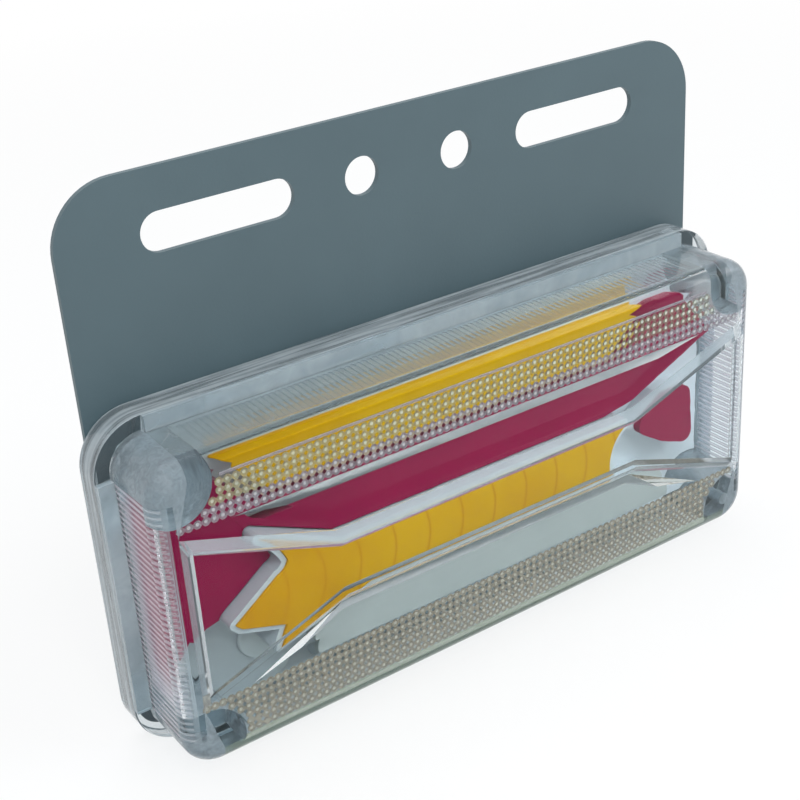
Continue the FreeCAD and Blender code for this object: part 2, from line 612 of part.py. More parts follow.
LOW_OUTLINES = {
    "amber_strip_lens": lambda depth: outline_wire(strip_outline(), depth),
    "red_bar_lens": lambda depth: outline_wire(red_bar_outline(), depth),
    "red_end_lens": lambda depth: outline_wire(shield_outline(), depth),
    "white_bar_lens": white_wire,
}
BOXED = ("red_end_lens", "white_bar_lens")


def low_face(name, depth, inset=0.0):
    """Outline of a low cap, its light box or the red cover, clear of the amber bar's box."""
    amber_box = grown(outline_wire(bar_outline(), depth), BAR_RIM_WALL + CAP_GAP + inset)
    return grown(LOW_OUTLINES[name](depth), -inset).cut(amber_box)


def forwards(face, thickness):
    return face.extrude(FreeCAD.Vector(0, -thickness, 0))


def reflector_tray():
    tray = rounded_prism(2 * TRAY_HALF_WIDTH, 2 * TRAY_HALF_HEIGHT, LENS_RADIUS - LENS_WALL,
                         TRAY_BACK, TRAY_FRONT)
    for name in BOXED:
        tray = tray.fuse(forwards(low_face(name, TRAY_FRONT), LOW_BOX_HEIGHT))
    well_depth = LOW_CAP_BACK - TRAY_BACK
    wells = [forwards(low_face(name, TRAY_BACK, BOX_WALL), well_depth) for name in LOW_OUTLINES]
    bar = outline_wire(bar_outline(), TRAY_BACK)
    tray = tray.fuse(forwards(grown(bar, BAR_RIM_WALL), BAR_RIM_FRONT - TRAY_BACK))
    wells.append(forwards(grown(bar, -BOX_WALL), BAR_RIM_FRONT - TRAY_BACK))
    seat = outline_wire(bar_outline(), BAR_CAP_BACK)
    wells.append(forwards(grown(seat, BAR_FIT), CAP_THICKNESS))
    for x, z in POST_PLACES:
        wells.append(rod(x, z, 2 * (POST_RADIUS + TRAY_POST_GAP), HOUSING_BACK, LENS_FACE))
    for well in wells:
        tray = tray.cut(well)
    for x, z in PILLAR_PLACES:
        tray = tray.fuse(block(x, z, PILLAR_SIZE, PILLAR_SIZE, BOARD_FRONT, TRAY_BACK))
    return tray.removeSplitter()


def amber_bar_lens():
    return prism(outline_wire(bar_outline(), BAR_CAP_BACK), CAP_THICKNESS)


def low_cap(name):
    return forwards(low_face(name, LOW_CAP_BACK), CAP_THICKNESS)


def cover(name):
    """Cap that stands on the tray by its own skirt, so it shows its colour from the side as well."""
    skirt = low_face(name, TRAY_FRONT).cut(low_face(name, TRAY_FRONT, BOX_WALL))
    return low_cap(name).fuse(forwards(skirt, LOW_BOX_HEIGHT))


def amber_strip_lens():
    left = STRIP_LEFT - STRIP_LEFT_SLANT
    right = STRIP_RIGHT + STRIP_RIGHT_SLANT
    flange = block((left + right) / 2, STRIP_TOP + STRIP_FLANGE_WIDTH / 2, right - left, STRIP_FLANGE_WIDTH,
                   TRAY_FRONT, TRAY_FRONT + STRIP_FLANGE_THICKNESS)
    return cover("amber_strip_lens").fuse(flange).removeSplitter()


def red_bar_lens():
    return cover("red_bar_lens").removeSplitter()


def red_end_lens():
    return round_along_depth(low_cap("red_end_lens"), SHIELD_ROUND, lambda x, z: True)


# 5. Circuit board and what is soldered to it

def circuit_board():
    side, top = BOARD_HALF_WIDTH, BOARD_HALF_HEIGHT
    corner = side + top - POST_X - POST_Z + math.sqrt(2) * (POST_RADIUS + BOARD_POST_GAP)
    quarter = [(side, top - corner), (side - corner, top)]
    half = quarter + [(-x, z) for x, z in reversed(quarter)]
    board = polygon_prism(half + [(x, -z) for x, z in reversed(half)], BOARD_BACK, BOARD_FRONT)
    return board.cut(rod(0, -GLAND_DROP, WIRE_HOLE, BOARD_BACK, BOARD_FRONT))


def on_board(x, z, length, width, height):
    return block(x, z, length, width, BOARD_FRONT, BOARD_FRONT + height)


def led(x, z):
    return on_board(x, z, LED_LENGTH, LED_WIDTH, LED_HEIGHT)


def led_row(z):
    return [led(LED_ROW_MIDDLE + (i - (LED_COUNT - 1) / 2) * LED_PITCH, z) for i in range(LED_COUNT)]


def amber_leds():
    return led_row((BAR_TOP + BAR_BOTTOM) / 2) + led_row((STRIP_TOP + STRIP_BOTTOM) / 2)


def red_leds():
    shields = [led(-SHIELD_LED_X, BAR_TOP), led(SHIELD_LED_X, SHIELD_TIP)]
    return led_row((RED_TOP + RED_BOTTOM) / 2) + shields


def white_leds():
    return led_row(WHITE_BAR_Z)


def resistors():
    places = [REGULATOR_X + RESISTOR_START + i * RESISTOR_PITCH for i in range(RESISTOR_COUNT)]
    return [on_board(x, -DRIVER_ROW_DROP, CHIP_WIDTH, CHIP_LENGTH, CHIP_HEIGHT) for x in places]


def polarity_diodes():
    places = [CAPACITOR_X - DIODE_START - i * DIODE_PITCH for i in range(DIODE_COUNT)]
    return [on_board(x, -DRIVER_ROW_DROP, DIODE_LENGTH, DIODE_WIDTH, DIODE_HEIGHT) for x in places]


def regulator_chip():
    return on_board(REGULATOR_X, -DRIVER_ROW_DROP, REGULATOR_SIZE, REGULATOR_SIZE, REGULATOR_HEIGHT)


def filter_capacitor():
    return on_board(CAPACITOR_X, -DRIVER_ROW_DROP, CAPACITOR_LENGTH, CAPACITOR_WIDTH, CAPACITOR_HEIGHT)


def wire_terminals():
    """Square pins beside the wire hole, two on each side, that the lead's cores are soldered to."""
    x = WIRE_HOLE / 2 + TERMINAL_GAP
    z = TERMINAL_PITCH / 2
    places = [(sx * x, sz * z - GLAND_DROP) for sx in (-1, 1) for sz in (-1, 1)]
    return [on_board(*place, TERMINAL_SIZE, TERMINAL_SIZE, TERMINAL_HEIGHT) for place in places]


# 6. Fasteners and gland

def corner_screws():
    """Pan-head screws, driven from behind the bracket into the lens posts."""
    screws = []
    for x, z in POST_PLACES:
        head = rod(x, z, CORNER_HEAD_DIAMETER, -CORNER_HEAD_HEIGHT, 0)
        head = head.makeChamfer(HEAD_CHAMFER, edges_at(head, -CORNER_HEAD_HEIGHT))
        screws.append(head.fuse(rod(x, z, CORNER_SCREW_DIAMETER, 0, SCREW_TIP)))
    return screws


def cable_gland():
    """Rubber gland: flange behind the plate, neck through the plate and the housing's floor."""
    neck = rod(0, -GLAND_DROP, GLAND_NECK, -GLAND_BACK_LENGTH, POCKET_BACK + GLAND_LIP)
    flange = rod(0, -GLAND_DROP, GLAND_FLANGE, -GLAND_BACK_LENGTH, 0)
    bore = rod(0, -GLAND_DROP, GLAND_BORE, -GLAND_BACK_LENGTH, RIM_FACE)
    return neck.fuse(flange).cut(bore).removeSplitter()


save("mounting_bracket", mounting_bracket())
save("rear_housing", rear_housing())
save("seal_ring", seal_ring())
save("lens_cover", lens_cover())
save("reflector_tray", reflector_tray())
save("amber_bar_lens", amber_bar_lens())
save("red_end_lens", red_end_lens())
save("red_bar_lens", red_bar_lens())
save("amber_strip_lens", amber_strip_lens())
save("white_bar_lens", low_cap("white_bar_lens"))
save("circuit_board", circuit_board())
save("amber_leds", amber_leds())
save("red_leds", red_leds())
save("white_leds", white_leds())
save("resistors", resistors())
save("polarity_diodes", polarity_diodes())
save("regulator_chip", regulator_chip())
save("filter_capacitor", filter_capacitor())
save("wire_terminals", wire_terminals())
save("corner_screws", corner_screws())
save("cable_gland", cable_gland())
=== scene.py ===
import functools
import math

import bpy
from mathutils import Matrix, Vector


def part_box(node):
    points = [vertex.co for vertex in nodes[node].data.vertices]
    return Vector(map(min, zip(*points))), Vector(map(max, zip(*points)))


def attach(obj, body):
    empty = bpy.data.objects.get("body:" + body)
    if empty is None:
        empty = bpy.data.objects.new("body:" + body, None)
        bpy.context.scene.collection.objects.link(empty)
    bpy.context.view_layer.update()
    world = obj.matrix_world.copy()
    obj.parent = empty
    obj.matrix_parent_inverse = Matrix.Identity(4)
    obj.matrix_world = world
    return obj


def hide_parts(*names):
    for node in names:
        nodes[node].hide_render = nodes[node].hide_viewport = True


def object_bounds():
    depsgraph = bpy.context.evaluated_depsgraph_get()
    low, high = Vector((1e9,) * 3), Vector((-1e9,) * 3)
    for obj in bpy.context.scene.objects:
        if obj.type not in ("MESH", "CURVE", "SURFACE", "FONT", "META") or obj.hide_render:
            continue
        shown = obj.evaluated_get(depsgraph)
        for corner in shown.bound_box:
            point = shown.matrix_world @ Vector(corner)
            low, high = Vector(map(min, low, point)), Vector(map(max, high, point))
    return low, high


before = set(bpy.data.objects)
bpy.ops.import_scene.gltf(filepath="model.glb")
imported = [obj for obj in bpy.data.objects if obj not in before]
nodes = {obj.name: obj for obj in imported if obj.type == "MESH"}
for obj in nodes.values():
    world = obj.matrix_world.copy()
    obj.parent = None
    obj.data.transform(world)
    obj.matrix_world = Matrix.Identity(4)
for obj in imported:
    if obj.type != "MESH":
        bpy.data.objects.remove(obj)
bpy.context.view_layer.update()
MM = 0.001


# 1. Mounting bracket: a pressed sheet steel plate with two slots and two holes. It carries the
#    lamp and bolts to the trailer's rail. It is powder coated in a flat grey-green, a satin skin
#    with the fine orange peel of baked powder.

PLATE_GREY = "#4a5d64"
PLATE_GREY_LIGHT = "#52666d"
COATING_GRAIN_MM = 0.5          # orange peel of the powder coat
COATING_GRAIN_DEPTH_MM = 0.02
COATING_PATCH_MM = 24.0         # slow change of tone over the sheet


def linear(code):
    """Linear colour of an sRGB hex value."""
    channels = [int(code[i:i + 2], 16) / 255 for i in (1, 3, 5)]
    return [c / 12.92 if c <= 0.04045 else ((c + 0.055) / 1.055) ** 2.4 for c in channels] + [1.0]


def add_node(tree, kind, inputs=None, **settings):
    """Adds a shader node. Each input is a value, or another node's output that is linked in."""
    node = tree.nodes.new(kind)
    for name, value in settings.items():
        setattr(node, name, value)
    for name, value in (inputs or {}).items():
        if isinstance(value, bpy.types.NodeSocket):
            tree.links.new(value, node.inputs[name])
        else:
            node.inputs[name].default_value = value
    return node


def new_material(name):
    """Empty material; gives it, its tree and its output's surface socket."""
    material = bpy.data.materials.new(name)
    material.use_nodes = True
    tree = material.node_tree
    tree.nodes.clear()
    output = add_node(tree, "ShaderNodeOutputMaterial")
    return material, tree, output.inputs["Surface"]


def noise(tree, size_mm, detail=2.0):
    """Noise in the object's own coordinates whose lumps are about this big."""
    place = add_node(tree, "ShaderNodeTexCoord").outputs["Object"]
    return add_node(tree, "ShaderNodeTexNoise",
                    {"Vector": place, "Scale": 1 / (size_mm * MM), "Detail": detail})


def blend_colours(tree, factor, low, high):
    """Colour that goes from one sRGB hex value to another with the factor."""
    ramp = add_node(tree, "ShaderNodeMix", {0: factor}, data_type="RGBA")
    ramp.inputs[6].default_value = linear(low)
    ramp.inputs[7].default_value = linear(high)
    return ramp.outputs[2]


def bumped(tree, height, depth_mm):
    """Normal of a surface with this relief."""
    bump = add_node(tree, "ShaderNodeBump", {"Height": height, "Distance": depth_mm * MM})
    return bump.outputs["Normal"]


def clothe(piece, material):
    """Gives a piece one material in place of what it has."""
    piece.data.materials.clear()
    piece.data.materials.append(material)


powder_coat, tree, surface = new_material("powder_coated_steel")
patches = noise(tree, COATING_PATCH_MM, detail=3.0)
tone = blend_colours(tree, patches.outputs["Fac"], PLATE_GREY, PLATE_GREY_LIGHT)
grain = noise(tree, COATING_GRAIN_MM)
shader = add_node(tree, "ShaderNodeBsdfPrincipled",
                  {"Base Color": tone, "Roughness": 0.45, "IOR": 1.5,
                   "Normal": bumped(tree, grain.outputs["Fac"], COATING_GRAIN_DEPTH_MM)})
tree.links.new(shader.outputs["BSDF"], surface)
clothe(nodes["mounting_bracket"], powder_coat)


# 2. Rear housing: an injection-moulded tray of clear acrylic with a broad solid rim, to which the
#    lens cover is welded. Its moulded surfaces are glossy, with slow flow marks, and the many
#    reflections inside it cloud the rim with pale grey, in fine lines that run along it.

ACRYLIC_TINT = "#f1f6f8"
ACRYLIC_IOR = 1.49
ACRYLIC_HAZE = ("#9aa6ac", "#b6c2c8")
HAZE_ROUGHNESS = 0.15
MIRROR_SHARE = "#444444"        # holds down the mirror image of the white studio in the clear faces
FLOW_MARK_MM = 9.0              # slow waves that the melt leaves on a moulded surface
FLOW_MARK_DEPTH_MM = 0.05
CLOUD_SIZE = 0.6                # size of the clouds in the haze, as a share of the flow marks'
CLOUD_SWIRL = 1.5
DRAW_LINE_MM = 0.9              # lines that the mould's polishing leaves along the rim
DRAW_LINE_STRETCH = 0.04        # they change 25 times slower along the rim than across it
DRAW_LINE_HAZE = (0.3, 0.75)    # share of haze between the lines and on them
NOISE_SPAN = (0.35, 0.65)       # most of a noise lies between these

NOTCH_X = 68.0 * MM             # the rim's corners beyond these are left clear
NOTCH_Z = 26.0 * MM
FLAT_FRONT = 0.9                # a face that looks forwards or backwards has more of its normal on Y
RIM_ROUNDING = 0.5 * MM
WELD_GAP = 0.001 * MM           # points nearer than this are one point
SMOOTH_ANGLE = math.radians(30)


def draw_lines(tree):
    """Share of haze that changes in fine lines which run along the rim, at one depth each."""
    place = add_node(tree, "ShaderNodeTexCoord").outputs["Object"]
    drawn = add_node(tree, "ShaderNodeMapping",
                     {"Vector": place, "Scale": (DRAW_LINE_STRETCH, 1.0, DRAW_LINE_STRETCH)})
    lines = add_node(tree, "ShaderNodeTexNoise",
                     {"Vector": drawn.outputs["Vector"], "Scale": 1 / (DRAW_LINE_MM * MM), "Detail": 2.0})
    share = add_node(tree, "ShaderNodeMapRange",
                     {"Value": lines.outputs["Fac"], "From Min": NOISE_SPAN[0], "From Max": NOISE_SPAN[1],
                      "To Min": DRAW_LINE_HAZE[0], "To Max": DRAW_LINE_HAZE[1]})
    return share.outputs["Result"]


def clear_plastic(name, haze, roughness, mark_mm=FLOW_MARK_MM, mark_depth_mm=FLOW_MARK_DEPTH_MM,
                  cloud=ACRYLIC_HAZE, ior=ACRYLIC_IOR):
    """Clear moulded plastic with a share of haze from its many inner reflections. The share is a
    number and the cloud two tones, or each is a function that adds nodes. The lamps' light goes
    straight through, so what lies behind is lit."""
    material, tree, surface = new_material(name)
    waves = noise(tree, mark_mm)
    relief = bumped(tree, waves.outputs["Fac"], mark_depth_mm)
    clouds = noise(tree, mark_mm * CLOUD_SIZE, detail=3.0)
    clouds.inputs["Distortion"].default_value = CLOUD_SWIRL
    share = haze(tree) if callable(haze) else haze
    tone = cloud(tree) if callable(cloud) else blend_colours(tree, clouds.outputs["Fac"], *cloud)
    clear = add_node(tree, "ShaderNodeBsdfPrincipled",
                     {"Base Color": linear(ACRYLIC_TINT), "Roughness": roughness, "IOR": ior,
                      "Specular Tint": linear(MIRROR_SHARE), "Transmission Weight": 1.0,
                      "Normal": relief})
    cloudy = add_node(tree, "ShaderNodeBsdfPrincipled",
                      {"Base Color": tone, "Roughness": HAZE_ROUGHNESS, "IOR": ACRYLIC_IOR,
                       "Specular Tint": linear(MIRROR_SHARE), "Normal": relief})
    body = add_node(tree, "ShaderNodeMixShader",
                    {0: share, 1: clear.outputs["BSDF"], 2: cloudy.outputs["BSDF"]})
    through = add_node(tree, "ShaderNodeBsdfTransparent", {"Color": linear(ACRYLIC_TINT)})
    lamp_ray = add_node(tree, "ShaderNodeLightPath").outputs["Is Shadow Ray"]
    mixed = add_node(tree, "ShaderNodeMixShader",
                     {0: lamp_ray, 1: body.outputs["Shader"], 2: through.outputs["BSDF"]})
    tree.links.new(mixed.outputs["Shader"], surface)
    return material


def clothe_parts(piece, materials, part_of):
    """Gives each face of a piece the material of the part that it belongs to."""
    piece.data.materials.clear()
    for material in materials.values():
        piece.data.materials.append(material)
    parts = list(materials)
    for face in piece.data.polygons:
        face.material_index = parts.index(part_of(face))


def select_only(piece):
    """Makes a piece the only selected one and the active one."""
    bpy.ops.object.select_all(action="DESELECT")
    piece.select_set(True)
    bpy.context.view_layer.objects.active = piece


def welded_copy(node, name):
    """Copy of a CAD node with its triangles joined up and its round faces shaded smooth."""
    piece = bpy.data.objects.new(name, nodes[node].data.copy())
    bpy.context.scene.collection.objects.link(piece)
    select_only(piece)
    bpy.ops.mesh.customdata_custom_splitnormals_clear()
    bpy.ops.object.mode_set(mode="EDIT")
    bpy.ops.mesh.select_all(action="SELECT")
    bpy.ops.mesh.remove_doubles(threshold=WELD_GAP)
    bpy.ops.object.mode_set(mode="OBJECT")
    bpy.ops.object.shade_smooth_by_angle(angle=SMOOTH_ANGLE)
    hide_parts(node)
    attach(piece, "root")
    return piece


def round_edges(piece, width, angle, segments=2):
    """Rounds the edges at which a piece turns by more than the angle, in degrees."""
    rounding = piece.modifiers.new("edges", "BEVEL")
    rounding.width = width
    rounding.segments = segments
    rounding.limit_method = "ANGLE"
    rounding.angle_limit = math.radians(angle)
    select_only(piece)
    bpy.ops.object.modifier_apply(modifier=rounding.name)


housing_low, housing_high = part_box("rear_housing")
lamp_middle = (housing_low.z + housing_high.z) / 2


def part_of_housing(face):
    """The flat fronts and backs of the rim's corners are clear, and all else is cloudy."""
    x, y, z = face.center
    in_corner = abs(x) > NOTCH_X and abs(z - lamp_middle) > NOTCH_Z
    return "corners" if in_corner and abs(face.normal.y) > FLAT_FRONT else "sides"


housing = welded_copy("rear_housing", "rear_housing_clear")
round_edges(housing, RIM_ROUNDING, angle=50)
housing_plastics = {
    "corners": clear_plastic("clear_acrylic_housing", 0.15, 0.03),
    "sides": clear_plastic("clear_acrylic_housing_sides", draw_lines, 0.05,
                           cloud=("#adb8be", "#ccd5da")),
}
clothe_parts(housing, housing_plastics, part_of_housing)


# 3. Gasket: a ring of soft grey silicone rubber that lies in the rim's groove, under the lens
#    cover's flange. It is matt, with a little chalky bloom.

def plain_material(name, low, high, size_mm, roughness, metallic=0.0, depth_mm=0.01):
    """Opaque material with a fine change of tone, and a relief as fine, or smooth at depth 0."""
    material, tree, surface = new_material(name)
    fine = noise(tree, size_mm)
    shader = add_node(tree, "ShaderNodeBsdfPrincipled",
                      {"Base Color": blend_colours(tree, fine.outputs["Fac"], low, high),
                       "Roughness": roughness, "Metallic": metallic, "IOR": 1.5,
                       "Normal": bumped(tree, fine.outputs["Fac"], depth_mm)})
    tree.links.new(shader.outputs["BSDF"], surface)
    return material


rubber = plain_material("gasket_rubber", "#8f999b", "#a1abad", 1.2, 0.6, depth_mm=0.0)
clothe(nodes["seal_ring"], rubber)


# 4. Circuit board with its lamps and driver parts: glass fibre laminate under a satin white solder
#    mask, lamps with a pale yellow window of silicone, driver parts moulded in black epoxy, and
#    solder posts of bright tinned brass. All are soldered on, and little shows round the caps.

mask = plain_material("solder_mask_on_laminate", "#d8dcd6", "#e4e7e2", 0.8, 0.4)
clothe(nodes["circuit_board"], mask)
led_body = plain_material("led_silicone_and_ppa", "#e9e2b4", "#f2ecc6", 0.6, 0.35)
for node in ("amber_leds", "red_leds", "white_leds"):
    clothe(nodes[node], led_body)
chip_black = plain_material("moulded_chip_epoxy", "#1c1d1f", "#2a2b2d", 0.4, 0.5)
for node in ("resistors", "polarity_diodes", "regulator_chip"):
    clothe(nodes[node], chip_black)
clothe(nodes["filter_capacitor"], plain_material("tantalum_case", "#b48a3c", "#c39a4c", 0.5, 0.4))
tinned = plain_material("tinned_brass", "#b9b6a6", "#c9c6b8", 0.5, 0.3, metallic=1.0)
clothe(nodes["wire_terminals"], tinned)


# 5. Reflector tray: one ABS moulding with the light boxes in it, whose feet hold the board down.
#    It is metallised under vacuum and reads as soft silver grey, with painted shade that makes
#    it darker at the left end and lighter towards the right end.

TRAY_SHADED_LEFT = "#b6bfc2"           # painted shade: the left end is darker, the right end lighter
TRAY_LIT_RIGHT = "#e0e8ec"
METAL_GRAIN_MM = 3.0
METAL_GRAIN_DEPTH_MM = 0.01


def place_along(tree):
    """Outputs X, Y and Z: how far along each axis a point of the object lies."""
    place = add_node(tree, "ShaderNodeTexCoord").outputs["Object"]
    return add_node(tree, "ShaderNodeSeparateXYZ", {"Vector": place}).outputs


tray_low, tray_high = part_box("reflector_tray")
tray_silver, tree, surface = new_material("metallised_abs_painted_shade")
# Painted shade and light: the tone runs from dark at the left end to light at the right end, along X.
painted_light_along_x = add_node(tree, "ShaderNodeMapRange",
                     {"Value": place_along(tree)["X"], "From Min": tray_low.x, "From Max": tray_high.x})
grain = noise(tree, METAL_GRAIN_MM)
shader = add_node(tree, "ShaderNodeBsdfPrincipled",
                  {"Base Color": blend_colours(tree, painted_light_along_x.outputs["Result"], TRAY_SHADED_LEFT, TRAY_LIT_RIGHT),
                   "Roughness": 0.35, "Metallic": 0.2, "IOR": 1.5,
                   "Normal": bumped(tree, grain.outputs["Fac"], METAL_GRAIN_DEPTH_MM)})
tree.links.new(shader.outputs["BSDF"], surface)
clothe(nodes["reflector_tray"], tray_silver)


# 6. Coloured caps: each closes one light box of the tray. They are moulded of translucent acrylic,
#    dyed through in amber and crimson, and one in opal white. Their skin is satin, so the colour
#    shows with little gloss, and painted shade makes it darker towards the left end.

CAP_EDGE = 0.4 * MM             # rounding of the caps' edges
DYE_CLOUD_MM = 14.0
SHADE_UNTIL = -60.0 * MM         # along X: where the painted shade begins to lift, and where it ends
LIT_FROM = -20.0 * MM
PAINTED_SHADE_SHIFT = (-0.3, 0.4)         # painted shade and light: what the ends add to the clouds in the dye

CELL_PITCH = 8.69 * MM          # pitch of the lamps' cells, whose joints show through the amber bar
FIRST_JOINT = -40.0 * MM
JOINT_BOW = 40.0                # shift along X for each unit of height squared
JOINT_CORE = 0.1 * MM           # half width of a joint where it is darkest, and where it has faded out
JOINT_EDGE = 0.45 * MM
JOINT_DARKNESS = 0.7


def cell_joints(tree, place, middle_z):
    """Share of dark at thin joints, one per cell along X, bowed a little to the right at mid height."""
    height = add_node(tree, "ShaderNodeMath", {0: place["Z"], 1: middle_z}, operation="SUBTRACT")
    square = add_node(tree, "ShaderNodeMath", {0: height.outputs[0], 1: 2.0}, operation="POWER")
    bowed = add_node(tree, "ShaderNodeMath", {0: square.outputs[0], 1: JOINT_BOW, 2: place["X"]},
                     operation="MULTIPLY_ADD")
    start = add_node(tree, "ShaderNodeMath", {0: bowed.outputs[0], 1: FIRST_JOINT}, operation="SUBTRACT")
    near = add_node(tree, "ShaderNodeMath", {0: start.outputs[0], 1: CELL_PITCH / 2},
                    operation="PINGPONG")
    dark = add_node(tree, "ShaderNodeMapRange",
                    {"Value": near.outputs[0], "From Min": JOINT_CORE, "From Max": JOINT_EDGE,
                     "To Min": JOINT_DARKNESS, "To Max": 0.0})
    return dark.outputs["Result"]


def dyed_plastic_with_painted_shade(name, deep, light, joints_middle=None):
    """Translucent plastic between two tones of one dye, with painted shade that darkens it towards the
    left end. With a middle height it also shows the dark joints between the lamps' cells."""
    material, tree, surface = new_material(name)
    place = place_along(tree)
    clouds = noise(tree, DYE_CLOUD_MM)
    # Painted shade: the tone is pushed darker towards the left end and lighter towards the right.
    slope = add_node(tree, "ShaderNodeMapRange",
                     {"Value": place["X"], "From Min": SHADE_UNTIL, "From Max": LIT_FROM,
                      "To Min": PAINTED_SHADE_SHIFT[0], "To Max": PAINTED_SHADE_SHIFT[1]})
    tone = add_node(tree, "ShaderNodeMath", {0: slope.outputs["Result"], 1: clouds.outputs["Fac"]},
                    operation="ADD", use_clamp=True)
    colour = blend_colours(tree, tone.outputs[0], deep, light)
    if joints_middle is not None:
        joined = add_node(tree, "ShaderNodeMix",
                          {0: cell_joints(tree, place, joints_middle), 6: colour, 7: linear(deep)},
                          data_type="RGBA")
        colour = joined.outputs[2]
    shader = add_node(tree, "ShaderNodeBsdfPrincipled",
                      {"Base Color": colour, "Roughness": 0.3, "IOR": ACRYLIC_IOR,
                       "Specular IOR Level": 0.06})
    tree.links.new(shader.outputs["BSDF"], surface)
    return material


def cap(node, name, material):
    """Welded copy of a cap's node with rounded edges, in one material."""
    piece = welded_copy(node, name)
    round_edges(piece, CAP_EDGE, angle=40)
    bpy.ops.object.mode_set(mode="EDIT")
    bpy.ops.mesh.select_all(action="SELECT")
    bpy.ops.mesh.dissolve_degenerate(threshold=WELD_GAP)
    bpy.ops.mesh.remove_doubles(threshold=WELD_GAP)
    bpy.ops.object.mode_set(mode="OBJECT")
    clothe(piece, material)


amber_low, amber_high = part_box("amber_bar_lens")
amber_middle = (amber_low.z + amber_high.z) / 2
cap("amber_bar_lens", "amber_bar", dyed_plastic_with_painted_shade("amber_acrylic_bar", "#bd8000", "#d2a204", amber_middle))
cap("amber_strip_lens", "amber_strip", dyed_plastic_with_painted_shade("amber_acrylic", "#c89200", "#d6a806"))
crimson = dyed_plastic_with_painted_shade("crimson_acrylic", "#820b3b", "#901542")
cap("red_bar_lens", "red_bar", crimson)
cap("red_end_lens", "red_end", crimson)
clothe(nodes["white_bar_lens"], plain_material("opal_acrylic", "#b0b8b6", "#bcc3c1", 6.0, 0.3))

WINDOW_X = -51.3 * MM           # round opal window at the left end of the white bar
WINDOW_Z = -18.9 * MM           # from the lamp's middle
WINDOW_RADIUS = 5.3 * MM
WINDOW_RISE = 1.0 * MM
WINDOW_ROUNDING = 0.45 * MM

window_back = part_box("amber_strip_lens")[1].y   # front of the tray
bpy.ops.object.select_all(action="DESELECT")
bpy.ops.mesh.primitive_cylinder_add(
    vertices=48, radius=WINDOW_RADIUS, depth=WINDOW_RISE, rotation=(math.pi / 2, 0, 0),
    location=(WINDOW_X, window_back - WINDOW_RISE / 2, lamp_middle + WINDOW_Z))
window = bpy.context.object
window.name = "opal_end_window"
bpy.ops.object.transform_apply(location=True, rotation=True, scale=True)
round_edges(window, WINDOW_ROUNDING, angle=30, segments=3)
bpy.ops.object.shade_smooth_by_angle(angle=SMOOTH_ANGLE)
clothe(window, plain_material("opal_acrylic_window", "#bcc5c6", "#c6cfd0", 6.0, 0.3))
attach(window, "root")


# 7. Lens cover: one moulding of clear acrylic, polished outside, with a raised bow-tie, two facets
#    and fields of beads inside its face. Its walls are fluted and its edges thick, so they look
#    cloudy and take colour from what lies behind them; on the left end wall's crests that colour
#    is a painted crimson reflection of the cover behind.

FACE_WALL = 2.0 * MM
BOW_RISE = 2.0 * MM
POST_INSET = 8.25 * MM          # post's centre, in from the flange's edge
POST_RADIUS = 8.1 * MM
TAB_DEPTH = 17.6 * MM           # back from the bow-tie's face to the weld flange
WALL_START = 2.0 * MM           # the walls begin this far behind the inside of the face
EDGE_HEIGHT = 29.9 * MM         # up and down to where the face turns into the walls
END_ROUNDING = 73.0 * MM        # out to where the face turns into the end walls
FACET_HEIGHT = 13.0 * MM        # the upper facet's upper slope lies above this
CREST_DEPTH = 5.7 * MM          # back to the crests of the bar facets inside the face
FLATNESS = 0.01 * MM            # two places this near are in one plane

TURNED = 0.5                    # a face looks along an axis when more of its normal lies on it
SLOPE_FROM = 0.3                # share of a slope's normal on Y: more than a wall's,
SLOPE_TO = 0.97                 # less than a flat face's
SLOPE_LEAN = 0.2                # the long facets' slopes have less than this on X

FLUTE_PITCH = 1.35 * MM
GROOVE_FLOOR = 0.1              # half width of a groove's floor and of its mouth, in pitches
GROOVE_MOUTH = 0.4
SIDE_WALL_IOR = 1.08            # the fluted end walls bend light little, as walls of even thickness do
CREST_HAZE = 0.15
GROOVE_HAZE = 0.62
PAINTED_REFLECTION_HAZE = 0.7                # painted reflection: haze on the crests before the crimson cover
PAINTED_REFLECTION_TONES = ("#dcd6de", "#92254f")
COVER_BOTTOM = -19.0 * MM       # the crimson cover's lower end, from the lamp's middle
COVER_BACK = -12.0 * MM         # and its back edge
COVER_FADE = 8.0 * MM
LEFT_SHARE = 0.8                # haze falls from this share of the way to the left end
RIGHT_SHARE = 0.3               # to this share of the way to the right end

lens_low, lens_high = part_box("lens_cover")
lens_face = lens_low.y + BOW_RISE
lens_inside = lens_face + FACE_WALL
post_x = lens_high.x - POST_INSET
post_z = (lens_high.z - lens_low.z) / 2 - POST_INSET


def groove(tree):
    """1 at the bottom of each groove of a fluted end wall, 0 on its crests."""
    height = add_node(tree, "ShaderNodeMath", {0: place_along(tree)["Z"], 1: lamp_middle},
                      operation="SUBTRACT")
    swing = add_node(tree, "ShaderNodeMath", {0: height.outputs[0], 1: FLUTE_PITCH / 2},
                     operation="PINGPONG")
    depth = add_node(tree, "ShaderNodeMapRange",
                     {"Value": swing.outputs[0], "From Min": GROOVE_FLOOR * FLUTE_PITCH,
                      "From Max": GROOVE_MOUTH * FLUTE_PITCH, "To Min": 1.0, "To Max": 0.0})
    return depth.outputs["Result"]


def frosted_grooves(tree, crest=CREST_HAZE, bottom=GROOVE_HAZE):
    """Share of haze that is highest at the bottom of each groove."""
    share = add_node(tree, "ShaderNodeMapRange",
                     {"Value": groove(tree), "To Min": crest, "To Max": bottom})
    return share.outputs["Result"]


